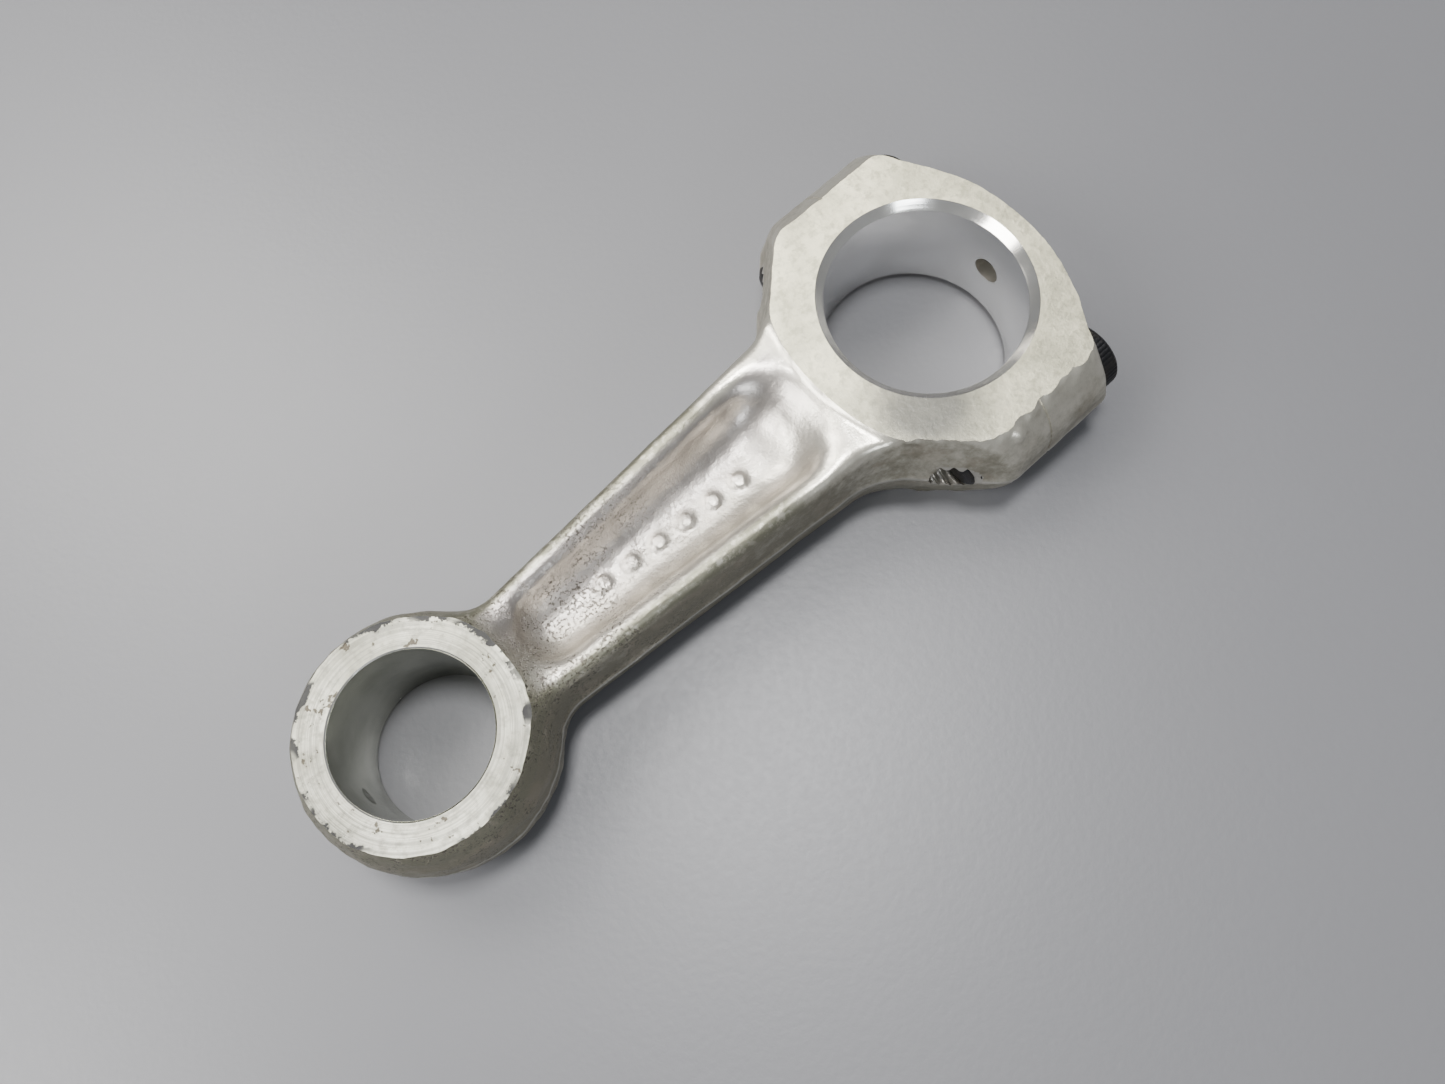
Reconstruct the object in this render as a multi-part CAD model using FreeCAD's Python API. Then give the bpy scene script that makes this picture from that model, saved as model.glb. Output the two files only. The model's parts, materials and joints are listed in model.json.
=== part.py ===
import FreeCAD, Part
import math
import os

from FreeCAD import Vector

# Cast connecting rod with a split big end, held together by two socket head cap screws.
#
# Frame: origin at the centre of the crankpin bore, half way through the rod's width.
# +X runs along the rod to the wristpin bore, +Z along both bores. Lengths are millimetres.

# Bores and faces
CRANKPIN_RADIUS = 15.875            # 1 1/4 in crankpin
WRISTPIN_RADIUS = 11.906            # 15/16 in wristpin
CENTRES = 100.33                    # crankpin to wristpin, 3.95 in
HALF_WIDTH = 10.8                   # machined side faces lie at +Z and -Z
CRANKPIN_CHAMFER = 1.4
WRISTPIN_CHAMFER = 0.3
CAP_OIL_HOLE_RADIUS = 2.38          # 3/16 in
WRISTPIN_OIL_HOLE_RADIUS = 1.59     # 1/8 in

# Big end. Sizes ending in FACE are at the machined face, those in MIDDLE at the parting plane.
BOSS_CENTRE_Y = 15.38               # the sides are rounded about a line along X
BOSS_RADIUS = 13.73
CROWN_CENTRE_X = 11.9               # centre of the cap's crown arc
CAP_CORNER_Y = 19.3                 # where the crown arc meets the sloping cap shoulder
CAP_CORNER_X_FACE = -14.4
CAP_CORNER_X_MIDDLE = -18.0
CAP_SHOULDER_SLOPE = 0.42           # X gained per unit of Y along the cap shoulder
SHOULDER_SUM_FACE = 34.0            # the rod's 45 degree shoulder lies on X + Y = this
SHOULDER_SUM_MIDDLE = 37.6
ROOT_X_FACE = 22.6                  # the face ends towards the beam on an arc through this
ROOT_X_MIDDLE = 28.0
ROOT_Y = 14.5                       # where that arc meets the 45 degree shoulder
OUTSIDE_Y = 34.0                    # clear of the rounded sides

# Small end
EYE_RADIUS_FACE = 16.73
EYE_RADIUS_MIDDLE = 19.4

# Beam: half widths and flange half heights at two stations along X, big end first
BEAM_STATION_BIG = 32.5
BEAM_STATION_SMALL = 79.0
BEAM_HALF_MIDDLE = (13.6, 10.4)
BEAM_HALF_TOP = (12.1, 8.8)
FLANGE_HALF_HEIGHT = (10.1, 9.0)
BEAM_END_X = 92.0
BEAM_START_X = 10.0
FLARE_RADIUS = 16.0                 # the beam flares into the 45 degree shoulders

# Pocket on each side of the beam
POCKET_FLOOR_Z = 3.4
POCKET_HALF_TOP = (8.6, 6.1)        # half widths at the centres of its two round ends
POCKET_TIP_BIG = 25.6
POCKET_TIP_SMALL = 81.8
POCKET_DRAFT = 2.4                  # the floor is this much smaller all round

# Cap screws, 5/16 in - 18 UNC
SCREW_Y = 21.6                      # half the distance between the screws
THREAD_RADIUS = 3.969
TAPPED_CLEARANCE = 0.05             # plain stand-in for the thread's play
TAPPED_DEPTH = 16.3                 # the holes just break out through the 45 degree shoulders
DRILL_POINT_RADIUS = 3.35
DRILL_POINT_LENGTH = 2.0
CLEARANCE_HOLE_RADIUS = 4.17
HEAD_RADIUS = 5.95
HEAD_HEIGHT = 7.94
SEAT_X = -9.5                       # the counterbored seat in the cap
COUNTERBORE_RADIUS = 6.3
SHANK_LENGTH = 22.22                # 7/8 in
SOCKET_ACROSS_FLATS = 6.35
SOCKET_DEPTH = 4.0
HEAD_CHAMFER = 0.6
TIP_CHAMFER = 0.8

ALONG_X = Vector(1, 0, 0)
ALONG_Z = Vector(0, 0, 1)
FAR = 200.0                         # longer than the whole rod


def cylinder(radius, start, direction, length):
    return Part.makeCylinder(radius, length, start, direction)


def mirrored(shape, normal):
    """The shape reflected in the plane through the origin with this normal."""
    return shape.mirror(Vector(0, 0, 0), normal)


def both_sides(half):
    """A solid above the parting plane, joined to its reflection below it."""
    return half.fuse(mirrored(half, ALONG_Z)).removeSplitter()


def drafted(middle_wire, top_wire):
    """Straight-sided solid between two outlines with the same number of edges."""
    return Part.makeLoft([middle_wire, top_wire], True, True)


def line(a, b):
    return Part.LineSegment(a, b).toShape()


def arc(a, through, b):
    return Part.Arc(a, through, b).toShape()


def big_end_outline(z, corner_x, shoulder_sum, root_x):
    """Crown, cap shoulders, 45 degree shoulders and beam root; the sides stay open to OUTSIDE_Y."""
    crown_radius = math.hypot(CROWN_CENTRE_X - corner_x, CAP_CORNER_Y)
    shoulder_x = corner_x + CAP_SHOULDER_SLOPE * (OUTSIDE_Y - CAP_CORNER_Y)
    upper = [
        Vector(corner_x, CAP_CORNER_Y, z),
        Vector(shoulder_x, OUTSIDE_Y, z),
        Vector(shoulder_sum - OUTSIDE_Y, OUTSIDE_Y, z),
        Vector(shoulder_sum - ROOT_Y, ROOT_Y, z),
    ]
    lower = [Vector(p.x, -p.y, z) for p in upper]
    edges = [line(a, b) for a, b in zip(upper, upper[1:])]
    edges.append(arc(upper[-1], Vector(root_x, 0, z), lower[-1]))
    edges += [line(b, a) for a, b in reversed(list(zip(lower, lower[1:])))]
    edges.append(arc(lower[0], Vector(CROWN_CENTRE_X - crown_radius, 0, z), upper[0]))
    return Part.Wire(edges)


def big_end():
    """The whole big end blank: a bar with rounded sides, trimmed to the drafted outline."""
    outline = both_sides(drafted(
        big_end_outline(0, CAP_CORNER_X_MIDDLE, SHOULDER_SUM_MIDDLE, ROOT_X_MIDDLE),
        big_end_outline(HALF_WIDTH, CAP_CORNER_X_FACE, SHOULDER_SUM_FACE, ROOT_X_FACE),
    ))
    bar = Part.makeBox(FAR, 2 * BOSS_CENTRE_Y, 2 * BOSS_RADIUS,
                       Vector(-FAR / 2, -BOSS_CENTRE_Y, -BOSS_RADIUS))
    for side in (-1, 1):
        start = Vector(-FAR / 2, side * BOSS_CENTRE_Y, 0)
        bar = bar.fuse(cylinder(BOSS_RADIUS, start, ALONG_X, FAR))
    return outline.common(bar).removeSplitter()


def small_end():
    """The barrel-sided eye around the wristpin bore."""
    top = Vector(EYE_RADIUS_FACE, 0, HALF_WIDTH)
    bottom = Vector(EYE_RADIUS_FACE, 0, -HALF_WIDTH)
    profile = Part.Wire([
        arc(bottom, Vector(EYE_RADIUS_MIDDLE, 0, 0), top),
        line(top, Vector(0, 0, HALF_WIDTH)),
        line(Vector(0, 0, HALF_WIDTH), Vector(0, 0, -HALF_WIDTH)),
        line(Vector(0, 0, -HALF_WIDTH), bottom),
    ])
    eye = Part.Face(profile).revolve(Vector(0, 0, 0), ALONG_Z, 360)
    eye.translate(Vector(CENTRES, 0, 0))
    return eye


def along_beam_at(x, values):
    """The value at x on the straight line through the values at the beam's two stations."""
    slope = (values[1] - values[0]) / (BEAM_STATION_SMALL - BEAM_STATION_BIG)
    return values[0] + slope * (x - BEAM_STATION_BIG)


def beam_outline(half_heights, half_widths, shoulder_sum):
    """Tapered beam that flares along an arc into the 45 degree shoulders."""
    def half_width(x):
        return along_beam_at(x, half_widths)

    def at(x, y):
        return Vector(x, y, along_beam_at(x, half_heights))

    slope = half_width(1) - half_width(0)
    # the beam's edge meets the shoulder line X + Y = shoulder_sum here
    corner_x = (shoulder_sum - half_width(0)) / (1 + slope)
    corner = Vector(corner_x, half_width(corner_x), 0)
    along_beam = Vector(1, slope, 0).normalize()
    along_shoulder = Vector(-1, 1, 0).normalize()
    half_angle = along_beam.getAngle(along_shoulder) / 2
    setback = FLARE_RADIUS / math.tan(half_angle)
    inward = (along_beam + along_shoulder).normalize()
    nearest = FLARE_RADIUS / math.sin(half_angle) - FLARE_RADIUS
    plan = [
        Vector(BEAM_END_X, half_width(BEAM_END_X), 0),
        corner + along_beam * setback,
        corner + inward * nearest,
        corner + along_shoulder * setback,
        Vector(BEAM_START_X, half_width(corner_x), 0),
    ]
    upper = [at(p.x, p.y) for p in plan]
    lower = [at(p.x, -p.y) for p in plan]
    edges = [
        line(upper[0], upper[1]),
        arc(upper[1], upper[2], upper[3]),
        line(upper[3], upper[4]),
        line(upper[4], lower[4]),
        line(lower[4], lower[3]),
        arc(lower[3], lower[2], lower[1]),
        line(lower[1], lower[0]),
        line(lower[0], upper[0]),
    ]
    return Part.Wire(edges)


def beam():
    return both_sides(drafted(
        beam_outline((0, 0), BEAM_HALF_MIDDLE, SHOULDER_SUM_MIDDLE),
        beam_outline(FLANGE_HALF_HEIGHT, BEAM_HALF_TOP, SHOULDER_SUM_FACE),
    ))


def pocket_outline(z, inset):
    """A tapered slot with round ends, smaller by inset all round."""
    radius_big = POCKET_HALF_TOP[0] - inset
    radius_small = POCKET_HALF_TOP[1] - inset
    tip_big = POCKET_TIP_BIG + inset
    tip_small = POCKET_TIP_SMALL - inset
    centre_big = tip_big + radius_big
    centre_small = tip_small - radius_small
    # the straight sides touch both end circles
    lean = math.asin((radius_big - radius_small) / (centre_small - centre_big))
    across = Vector(math.sin(lean), math.cos(lean), 0)
    big = Vector(centre_big, 0, z) + across * radius_big
    small = Vector(centre_small, 0, z) + across * radius_small
    big_below = Vector(big.x, -big.y, z)
    small_below = Vector(small.x, -small.y, z)
    return Part.Wire([
        line(big, small),
        arc(small, Vector(tip_small, 0, z), small_below),
        line(small_below, big_below),
        arc(big_below, Vector(tip_big, 0, z), big),
    ])


def pockets():
    """The tools that hollow both sides of the beam."""
    rise = FLANGE_HALF_HEIGHT[1] - POCKET_FLOOR_Z
    overshoot = HALF_WIDTH + 1 - POCKET_FLOOR_Z
    upper = drafted(
        pocket_outline(POCKET_FLOOR_Z, POCKET_DRAFT),
        pocket_outline(HALF_WIDTH + 1, POCKET_DRAFT * (1 - overshoot / rise)),
    )
    return upper, mirrored(upper, ALONG_Z)


def bore(radius, chamfer, x):
    """A hole along Z through the full width, with a 45 degree chamfer at both faces."""
    hole = cylinder(radius, Vector(x, 0, -FAR / 2), ALONG_Z, FAR)
    flare = Part.makeCone(radius, radius + 2 * chamfer, 2 * chamfer,
                          Vector(x, 0, HALF_WIDTH - chamfer), ALONG_Z)
    return hole.fuse([flare, mirrored(flare, ALONG_Z)])


def half_space(side):
    """Everything on one side of the plane that splits the big end."""
    return Part.makeBox(FAR, FAR, FAR, Vector(0 if side > 0 else -FAR, -FAR / 2, -FAR / 2))


def screw_axis(side):
    return Vector(0, side * SCREW_Y, 0)


def rod():
    body = big_end().common(half_space(1)).fuse([beam(), small_end()])
    body = body.common(half_space(1)).removeSplitter()
    tools = list(pockets())
    tools.append(bore(CRANKPIN_RADIUS, CRANKPIN_CHAMFER, 0))
    tools.append(bore(WRISTPIN_RADIUS, WRISTPIN_CHAMFER, CENTRES))
    tools.append(cylinder(WRISTPIN_OIL_HOLE_RADIUS, Vector(CENTRES, 0, 0), ALONG_X, FAR))
    for side in (-1, 1):
        tools.append(cylinder(THREAD_RADIUS + TAPPED_CLEARANCE, screw_axis(side), ALONG_X,
                              TAPPED_DEPTH))
        tools.append(Part.makeCone(DRILL_POINT_RADIUS, 0, DRILL_POINT_LENGTH,
                                   screw_axis(side) + ALONG_X * TAPPED_DEPTH, ALONG_X))
    return body.cut(tools).removeSplitter()


def bearing_cap():
    body = big_end().common(half_space(-1))
    tools = [bore(CRANKPIN_RADIUS, CRANKPIN_CHAMFER, 0)]
    tools.append(cylinder(CAP_OIL_HOLE_RADIUS, Vector(0, 0, 0), -ALONG_X, FAR))
    for side in (-1, 1):
        tools.append(cylinder(CLEARANCE_HOLE_RADIUS, screw_axis(side), -ALONG_X, FAR))
        seat = screw_axis(side) + ALONG_X * SEAT_X
        tools.append(cylinder(COUNTERBORE_RADIUS, seat, -ALONG_X, FAR))
    return body.cut(tools).removeSplitter()


def turned(profile, axis_point):
    """A solid turned about a line along X, from (x, radius) points."""
    points = [Vector(x, radius, 0) for x, radius in profile]
    face = Part.Face(Part.makePolygon(points + points[:1]))
    solid = face.revolve(Vector(0, 0, 0), ALONG_X, 360)
    solid.translate(axis_point)
    return solid


def cap_screw(side):
    """Socket head cap screw with a plain cylinder at the thread's outer radius."""
    head_x = SEAT_X - HEAD_HEIGHT
    tip_x = SEAT_X + SHANK_LENGTH
    body = turned([
        (head_x, 0),
        (head_x, HEAD_RADIUS - HEAD_CHAMFER),
        (head_x + HEAD_CHAMFER, HEAD_RADIUS),
        (SEAT_X, HEAD_RADIUS),
        (SEAT_X, THREAD_RADIUS),
        (tip_x - TIP_CHAMFER, THREAD_RADIUS),
        (tip_x, THREAD_RADIUS - TIP_CHAMFER),
        (tip_x, 0),
    ], screw_axis(side))
    corner_radius = SOCKET_ACROSS_FLATS / math.sqrt(3)
    corners = []
    for corner in range(7):
        angle = math.radians(60 * corner)
        corners.append(screw_axis(side) + Vector(head_x, corner_radius * math.cos(angle),
                                                 corner_radius * math.sin(angle)))
    socket = Part.Face(Part.makePolygon(corners)).extrude(ALONG_X * SOCKET_DEPTH)
    return body.cut(socket)


PIECES = {
    "rod": rod(),
    "bearing_cap": bearing_cap(),
    "cap_screw_left": cap_screw(-1),
    "cap_screw_right": cap_screw(1),
}

os.makedirs("parts", exist_ok=True)
for name, shape in PIECES.items():
    shape.exportStep(f"parts/{name}.step")
    solids = len(shape.Solids)
    print(f"{name}: {solids} solid, valid {shape.isValid()}, {shape.Volume:.1f} mm3")
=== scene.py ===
import json
import math

import bmesh
import bpy
import numpy as np
from mathutils import Matrix, Vector, noise


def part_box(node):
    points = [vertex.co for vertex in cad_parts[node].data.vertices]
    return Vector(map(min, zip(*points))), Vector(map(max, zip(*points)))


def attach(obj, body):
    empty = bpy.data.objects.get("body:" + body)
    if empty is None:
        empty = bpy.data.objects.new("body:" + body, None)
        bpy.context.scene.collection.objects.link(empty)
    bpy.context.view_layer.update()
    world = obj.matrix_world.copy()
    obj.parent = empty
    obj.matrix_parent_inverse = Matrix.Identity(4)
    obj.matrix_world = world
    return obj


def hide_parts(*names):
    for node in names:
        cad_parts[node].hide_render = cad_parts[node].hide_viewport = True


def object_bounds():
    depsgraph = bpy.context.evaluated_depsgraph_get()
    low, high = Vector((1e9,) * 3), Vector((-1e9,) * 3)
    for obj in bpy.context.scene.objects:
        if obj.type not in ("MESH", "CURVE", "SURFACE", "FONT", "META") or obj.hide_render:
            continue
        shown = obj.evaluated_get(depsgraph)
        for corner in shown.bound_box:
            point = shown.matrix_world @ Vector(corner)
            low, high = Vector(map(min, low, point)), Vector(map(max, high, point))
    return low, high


# Cast aluminium connecting rod with a split big end, its bearing cap and two socket head screws.
# Shapes are modelled in millimetres in the CAD frame and scaled to metres as they are finished.

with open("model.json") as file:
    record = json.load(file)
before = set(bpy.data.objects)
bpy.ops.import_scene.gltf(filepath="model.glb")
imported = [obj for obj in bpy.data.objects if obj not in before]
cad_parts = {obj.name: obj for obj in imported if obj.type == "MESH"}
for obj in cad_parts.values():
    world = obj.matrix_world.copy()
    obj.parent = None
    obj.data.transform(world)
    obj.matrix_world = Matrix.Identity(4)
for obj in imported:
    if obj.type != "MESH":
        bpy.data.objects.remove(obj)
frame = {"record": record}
CAD_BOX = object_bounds()
MOUNTS = {m["name"]: m for m in frame["record"]["mounts"]}

MM = 0.001

# Machined sizes
CRANKPIN_RADIUS = MOUNTS["big_end_bore"]["dims"]["r_mm"]
WRISTPIN_RADIUS = MOUNTS["small_end_bore"]["dims"]["r_mm"]
CENTRES = MOUNTS["small_end_bore"]["pos_m"][0] / MM
HALF_WIDTH = CAD_BOX[1].z / MM
CRANKPIN_CHAMFER = 1.4
WRISTPIN_CHAMFER = 0.3
CAP_OIL_HOLE_RADIUS = 2.38
WRISTPIN_OIL_HOLE_RADIUS = 1.59
COUNTERBORE_RADIUS = 6.3
CLEARANCE_HOLE_RADIUS = 4.17
HOLE_EDGE_BREAK = 0.35

# Screws: 5/16 in, 18 threads per inch, right-handed
SCREW_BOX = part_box("cap_screw_right")
HEAD_X = SCREW_BOX[0].x / MM
TIP_X = SCREW_BOX[1].x / MM
HEAD_RADIUS = (SCREW_BOX[1].y - SCREW_BOX[0].y) / 2 / MM
SCREW_Y = (SCREW_BOX[1].y + SCREW_BOX[0].y) / 2 / MM
HEAD_HEIGHT = 7.94
SEAT_X = HEAD_X + HEAD_HEIGHT
THREAD_RADIUS = 3.969
THREAD_PITCH = 25.4 / 18
THREAD_DEPTH = 0.85
THREAD_PLAY = 0.05
THREAD_CREST = 0.0625       # half the flat on each crest, in turns
THREAD_FLANK = 0.3125       # from the crest down to the root, in turns
THREAD_ROWS = 14            # rings of points to each turn of the thread
KNURL_DEPTH = 0.16
KNURL_SPACING = 3           # steps round the head from one groove to the next
TAPPED_DEPTH = 16.3         # the tapped holes just break out through the 45 degree shoulders
DRILL_POINT_RADIUS = 3.35
DRILL_POINT_LENGTH = 2.0
SOCKET_ACROSS_FLATS = 6.35
SOCKET_DEPTH = 4.0

# Cast sizes, at the machined face and at the parting plane
BOSS_CENTRE_Y = 15.38
BOSS_RADIUS = 13.73
CROWN_CENTRE_X = 11.9
CAP_CORNER_Y = 19.3
CAP_CORNER_X = (-14.4, -18.0)
CAP_SHOULDER_SLOPE = 0.42
SHOULDER_SUM = (34.0, 37.6)
ROOT_X = (22.6, 28.0)
ROOT_Y = 14.5
EYE_RADIUS = (16.73, 19.4)

# Beam and pocket, at two stations along X
BEAM_STATIONS = (32.5, 79.0)
BEAM_HALF_MIDDLE = (13.6, 10.4)
BEAM_HALF_TOP = (12.1, 8.8)
FLANGE_HALF_HEIGHT = (10.1, 9.0)
POCKET_FLOOR_Z = 3.4
POCKET_HALF_TOP = (8.6, 6.1)
POCKET_TIPS = (25.6, 81.8)
POCKET_DRAFT = 2.4
POCKET_RAMP_X = 38.0        # from here the floor curves up towards the big end

# Plain raised pips in place of the cast lettering: a row in the pocket and one on the side
PIP_ROW = ((40.0, 0.9), (66.0, -0.5))
PIP_COUNT = 6
PIP_RADIUS = 1.75
PIP_HEIGHT = 0.48
SIDE_PIP = (5.6, 24.9, 8.9)
SIDE_PIP_RADIUS = 1.4

# Widths over which edges of the casting are rounded or blended
CROWN_ROUND = 0.8
SHOULDER_ROUND = 1.0
ROOT_ROUND = 1.6
BOSS_ROUND = 1.5
FLANGE_ROUND = 2.2
POCKET_FLOOR_ROUND = 3.8
POCKET_RIM_ROUND = 2.4
POCKET_RIM_EXTRA = 1.0      # added to the pocket's rim at its big end
CEILING_ROUND = 0.9
STOCK_ROUND = 1.2
BEAM_BLEND = 4.7
EYE_BLEND = 4.0
SIDE_PIP_BLEND = 0.5
PIP_EDGE = 0.9

# Casting finish: heights of the unevenness, and the size of its lumps
FLASH_HEIGHT = 0.3          # the trimmed flash reaches the envelope, the skin beside it doesn't
FLASH_WIDTH = 0.6
FLASH_MARGIN = 4.0          # how far from the parting plane the skin is back at full size
FLASH_LUMPS = 4.0
BROAD_RELIEF = 0.08
BROAD_LUMPS = 7.0
FINE_RELIEF = 0.04
FINE_LUMPS = 2.1
BIG_END_RIM = 0.1
BIG_END_RAGGED_RIM = 0.26   # added where the machined face's edge is ragged
EYE_RIM = 0.16
RIM_LUMPS = 2.6
ALLOWANCE = 0.9             # cast stock above the machined faces
SPLIT_EDGE_EASE = 0.16      # how far the split face's outer edge is drawn in
SPLIT_EDGE_DEPTH = 0.9      # how deep below the skin that reaches
WEAR_REACH = 0.8
WEAR_FULL_BEND = 0.35       # curvature that counts as fully worn
SHARP_ANGLE = math.radians(32)

# The grid that the casting is sampled on, and the number of steps round each turned shape
VOXEL = 0.6
GRID_LOW = (-25.0, -30.5, -12.5)
GRID_HIGH = (121.5, 30.5, 12.5)
BORE_STEPS = 256
DRILL_STEPS = 96
COUNTERBORE_STEPS = 128
EYE_OIL_HOLE_STEPS = 48
CAP_OIL_HOLE_STEPS = 64
TAP_STEPS = 72
SCREW_STEPS = 144

# Where cutting tools start and end, clear of the metal
FAR_SIDE = 60
FAR_END = 200
EYE_DRILL_START = CENTRES + 25
CAP_DRILL_START = -28
CAP_DRILL_END = -5
CLEARANCE_DRILL_END = -20
COUNTERBORE_START = -30

# Places on the finished part, in metres, between which a finish fades in or out
POCKET_START_X = (0.022, 0.026)
POCKET_END_X = (0.085, 0.0815)
# where the painted shade on the eye's upright sides fades in
EYE_SIDE_SHADE_X = (0.080, 0.092)
CLEAN_ROOT_X = (0.036, 0.026)
FLANGE_START_X = (0.033, 0.040)
FLANGE_Z = (0.0070, 0.0084)
SPECKS_X = (0.036, 0.072)
SMOOTH_ROOT_X = (0.028, 0.044)
SEAM_Z = (0.0006, 0.0002)
WORN_RIM_RADIUS = (0.0198, 0.0201)
# centre and reach of the patch of painted shade on the big end's face
FACE_SHADE_CENTRE = (0.0134, 0.0142, 0.0108)
FACE_SHADE_REACH = (0.018, 0.007)

# Floor, world and lights: a lamp's name, place, size, energy in watts and tint
FLOOR_HALF_SIZE = 1.6
WORLD_TINT = (0.93, 0.96, 1.0, 1.0)
WORLD_HEIGHTS = (-0.1, 1.0)
WORLD_STRENGTHS = (0.24, 0.45)
LAMP_TARGET = (0.045, 0.0, 0.0)
LAMPS = (
    ("key", (-0.12, -0.60, 0.98), (1.2, 0.4), 7.6, (1.0, 0.98, 0.93)),
    ("near", (0.16, -0.40, 0.46), (0.3, 0.3), 3.4, (1.0, 0.98, 0.94)),
    ("overhead", (0.0, -0.05, 0.80), (0.16, 0.16), 6.4, (1.0, 1.0, 1.0)),
    ("side", (0.52, -0.16, 0.44), (0.3, 0.3), 4.8, (1.0, 0.99, 0.97)),
    ("window", (0.3, 0.72, 0.47), (0.32, 0.16), 2.2, (0.88, 0.94, 1.0)),
)

# Camera, solved from the rims of the two bores
CAMERA_PLACE = (0.07565, 0.04737, 0.16200)
CAMERA_PITCH = math.radians(72.83)
CAMERA_YAW = math.radians(236.29)
CAMERA_ROLL = math.radians(-8.23)
CAMERA_LENS = 27.235
SENSOR_WIDTH = 36.0
CAMERA_CLIP = (0.01, 20.0)


# ---------------------------------------------------------------- the casting as a distance field

def smooth_max(a, b, k):
    """The larger of two fields, with their edge rounded over a width k."""
    near = np.maximum(k - np.abs(a - b), 0) / k
    return np.maximum(a, b) + near * near * k / 4


def smooth_min(a, b, k):
    return -smooth_max(-a, -b, k)


def drafted(z, sizes):
    """A size that changes evenly from the machined face to the parting plane."""
    face, middle = sizes
    return middle + (face - middle) * np.abs(z) / HALF_WIDTH


def along_beam(x, values):
    slope = (values[1] - values[0]) / (BEAM_STATIONS[1] - BEAM_STATIONS[0])
    return values[0] + slope * (np.maximum(x, 10) - BEAM_STATIONS[0])


def rise(value, low, high):
    """Goes smoothly from 0 at low to 1 at high."""
    t = np.clip((value - low) / (high - low), 0, 1)
    return t * t * (3 - 2 * t)


def beyond_root(x, y, root_x, shoulder_sum):
    """How far a point lies beyond the arc that ends the big end towards the beam."""
    sag = root_x - (shoulder_sum - ROOT_Y)
    radius = (ROOT_Y**2 + sag**2) / (2 * sag)
    along = np.maximum(x, 0) - (root_x - radius)
    return np.hypot(along, np.minimum(np.abs(y), ROOT_Y + 2.5)) - radius


def big_end_field(x, y, z):
    """Round-sided bar, trimmed by the crown, the cap shoulders, the 45 degree shoulders and the root."""
    across = np.abs(y)
    sides = np.hypot(np.maximum(across - BOSS_CENTRE_Y, 0), z) - BOSS_RADIUS
    corner_x = drafted(z, CAP_CORNER_X)
    crown_radius = np.hypot(CROWN_CENTRE_X - corner_x, CAP_CORNER_Y)
    crown = CROWN_CENTRE_X - np.sqrt(crown_radius**2 - np.minimum(across, 29) ** 2)
    ledge = corner_x + CAP_SHOULDER_SLOPE * (across - CAP_CORNER_Y)
    ledge = ledge + 0.05 * np.maximum(17 - across, 0) ** 2
    cap_end = (smooth_min(crown, ledge, CROWN_ROUND) - x) * 0.88
    shoulders = (x + across - drafted(z, SHOULDER_SUM)) / math.sqrt(2)
    root = beyond_root(x, y, drafted(z, ROOT_X), drafted(z, SHOULDER_SUM))
    ends = smooth_max(smooth_max(cap_end, shoulders, SHOULDER_ROUND), root, ROOT_ROUND)
    return smooth_max(sides, ends, BOSS_ROUND)


def small_end_field(x, y, z):
    """Barrel-sided eye with a rounded rim."""
    bulge = EYE_RADIUS[1] - EYE_RADIUS[0]
    barrel = (HALF_WIDTH**2 + bulge**2) / (2 * bulge)
    radius = EYE_RADIUS[1] - barrel + np.sqrt(barrel**2 - z * z)
    return np.hypot(x - CENTRES, y) - radius


def beam_field(x, y, z):
    """Tapered, drafted beam with rounded flange tops."""
    height = along_beam(x, FLANGE_HALF_HEIGHT)
    up = np.abs(z) / height
    half = along_beam(x, BEAM_HALF_MIDDLE) * (1 - up) + along_beam(x, BEAM_HALF_TOP) * up
    ends = np.maximum(10 - x, x - 98)
    section = smooth_max(np.abs(y) - half, np.abs(z) - height, FLANGE_ROUND)
    return np.maximum(section, ends)


def pocket_field(x, y, z):
    """The scooped pocket: a tapered slot with round ends, drafted walls and a soft floor."""
    r_big, r_small = POCKET_HALF_TOP
    c_big = POCKET_TIPS[0] + r_big
    c_small = POCKET_TIPS[1] - r_small
    lean = math.asin((r_big - r_small) / (c_small - c_big))
    along = x - c_big
    across = np.abs(y)
    straight = along * math.sin(lean) + across * math.cos(lean) - r_big
    turned_x = along * math.cos(lean) - across * math.sin(lean)
    length = (c_small - c_big) * math.cos(lean)
    slot = np.where(turned_x < 0, np.hypot(along, across) - r_big, straight)
    slot = np.where(turned_x > length, np.hypot(x - c_small, across) - r_small, slot)
    depth = FLANGE_HALF_HEIGHT[1] - POCKET_FLOOR_Z
    walls = slot + POCKET_DRAFT * (1 - (np.abs(z) - POCKET_FLOOR_Z) / depth)
    floor = POCKET_FLOOR_Z + 0.035 * np.maximum(POCKET_RAMP_X - x, 0) ** 2
    hollow = smooth_max(walls * 0.92, floor - np.abs(z), POCKET_FLOOR_ROUND)
    (x_first, y_first), (x_last, y_last) = PIP_ROW
    for number in range(PIP_COUNT):
        part = number / (PIP_COUNT - 1)
        away = np.hypot(x - x_first - part * (x_last - x_first),
                        y - y_first - part * (y_last - y_first))
        hollow = hollow + PIP_HEIGHT * rise(PIP_RADIUS - away, 0, PIP_EDGE) * (z > 0)
    return hollow


def ceiling_field(x, y, z):
    """Steps the top down from the machined face to the flanges, just beyond the root arc."""
    past = beyond_root(x, y, ROOT_X[0], SHOULDER_SUM[0])
    flange = along_beam(x, FLANGE_HALF_HEIGHT)
    top = flange + (HALF_WIDTH + ALLOWANCE - flange) * rise(-past, -1.4, 0.9)
    top = top + 0.15 * np.maximum(past - 1, 0)
    return np.where(x < 60, np.abs(z) - top, -10.0)


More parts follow.
